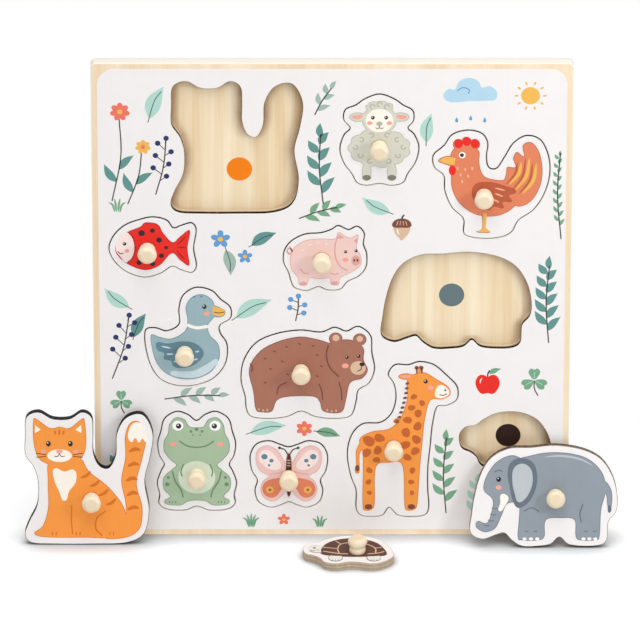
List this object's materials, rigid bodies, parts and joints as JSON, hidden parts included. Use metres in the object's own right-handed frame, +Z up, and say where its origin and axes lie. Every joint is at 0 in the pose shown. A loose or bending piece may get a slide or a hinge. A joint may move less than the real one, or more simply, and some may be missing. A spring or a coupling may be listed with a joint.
{
  "type": "peg puzzle",
  "caption": "Upright wooden board with animal-shaped pockets and loose printed pieces, each lifted out by its turned knob; some pieces lean on the board or lie before it.",
  "frame": {"origin": "centre of the board's bottom edge, on the surface that it stands on, half way through its thickness", "axes": "+Z up along the board, front with the pockets and knobs towards -Y, +X to the right as seen from the front"},
  "size_m": [0.3445, 0.055, 0.3],
  "materials": {
    "backing_ply": "bare fine-sanded plywood",
    "panel_ply": "bare fine-sanded plywood, clear matt",
    "board_face": "matt off-white print",
    "piece_face": "plywood with a matt off-white printed face and browned cut edges",
    "knob_wood": "turned and tumbled bare hardwood",
    "cat_ink": "matt orange print",
    "elephant_ink": "matt slate print",
    "turtle_ink": "matt dark brown print",
    "lamb_ink": "matt sage grey print",
    "rooster_ink": "matt rust print",
    "fish_ink": "matt red print",
    "pig_ink": "matt pink print",
    "duck_ink": "matt blue-grey print",
    "bear_ink": "matt brown print",
    "giraffe_ink": "matt orange print",
    "frog_ink": "matt sage green print",
    "butterfly_ink": "matt pink print",
    "slate_spot_ink": "matt grey-green print on bare wood"
  },
  "bodies": {
    "board": {"backing_board": "backing_ply", "tray_panel": "panel_ply", "board_print": "board_face", "cat_spot": "cat_ink", "elephant_spot": "slate_spot_ink", "turtle_spot": "turtle_ink"},
    "cat": {"cat_piece": "piece_face", "cat_print": "cat_ink", "cat_knob": "knob_wood"},
    "elephant": {"elephant_piece": "piece_face", "elephant_print": "elephant_ink", "elephant_knob": "knob_wood"},
    "turtle": {"turtle_piece": "piece_face", "turtle_print": "turtle_ink", "turtle_knob": "knob_wood"},
    "lamb": {"lamb_piece": "piece_face", "lamb_print": "lamb_ink", "lamb_knob": "knob_wood"},
    "rooster": {"rooster_piece": "piece_face", "rooster_print": "rooster_ink", "rooster_knob": "knob_wood"},
    "fish": {"fish_piece": "piece_face", "fish_print": "fish_ink", "fish_knob": "knob_wood"},
    "pig": {"pig_piece": "piece_face", "pig_print": "pig_ink", "pig_knob": "knob_wood"},
    "duck": {"duck_piece": "piece_face", "duck_print": "duck_ink", "duck_knob": "knob_wood"},
    "bear": {"bear_piece": "piece_face", "bear_print": "bear_ink", "bear_knob": "knob_wood"},
    "giraffe": {"giraffe_piece": "piece_face", "giraffe_print": "giraffe_ink", "giraffe_knob": "knob_wood"},
    "frog": {"frog_piece": "piece_face", "frog_print": "frog_ink", "frog_knob": "knob_wood"},
    "butterfly": {"butterfly_piece": "piece_face", "butterfly_print": "butterfly_ink", "butterfly_knob": "knob_wood"}
  },
  "joints": [
    {"name": "cat_lift", "type": "slide", "parent": "board", "child": "cat", "axis": [0, -0.9954, 0.0958], "range_m": [0, 0.025]},
    {"name": "elephant_lift", "type": "slide", "parent": "board", "child": "elephant", "axis": [0, -0.9799, 0.1994], "range_m": [0, 0.025]},
    {"name": "turtle_lift", "type": "slide", "parent": "board", "child": "turtle", "axis": [0, -0.7071, 0.7071], "range_m": [0, 0.025]},
    {"name": "lamb_lift", "type": "slide", "parent": "board", "child": "lamb", "axis": [0, -1, 0], "range_m": [0, 0.025]},
    {"name": "rooster_lift", "type": "slide", "parent": "board", "child": "rooster", "axis": [0, -1, 0], "range_m": [0, 0.025]},
    {"name": "fish_lift", "type": "slide", "parent": "board", "child": "fish", "axis": [0, -1, 0], "range_m": [0, 0.025]},
    {"name": "pig_lift", "type": "slide", "parent": "board", "child": "pig", "axis": [0, -1, 0], "range_m": [0, 0.025]},
    {"name": "duck_lift", "type": "slide", "parent": "board", "child": "duck", "axis": [0, -1, 0], "range_m": [0, 0.025]},
    {"name": "bear_lift", "type": "slide", "parent": "board", "child": "bear", "axis": [0, -1, 0], "range_m": [0, 0.025]},
    {"name": "giraffe_lift", "type": "slide", "parent": "board", "child": "giraffe", "axis": [0, -1, 0], "range_m": [0, 0.025]},
    {"name": "frog_lift", "type": "slide", "parent": "board", "child": "frog", "axis": [0, -1, 0], "range_m": [0, 0.025]},
    {"name": "butterfly_lift", "type": "slide", "parent": "board", "child": "butterfly", "axis": [0, -1, 0], "range_m": [0, 0.025]}
  ]
}
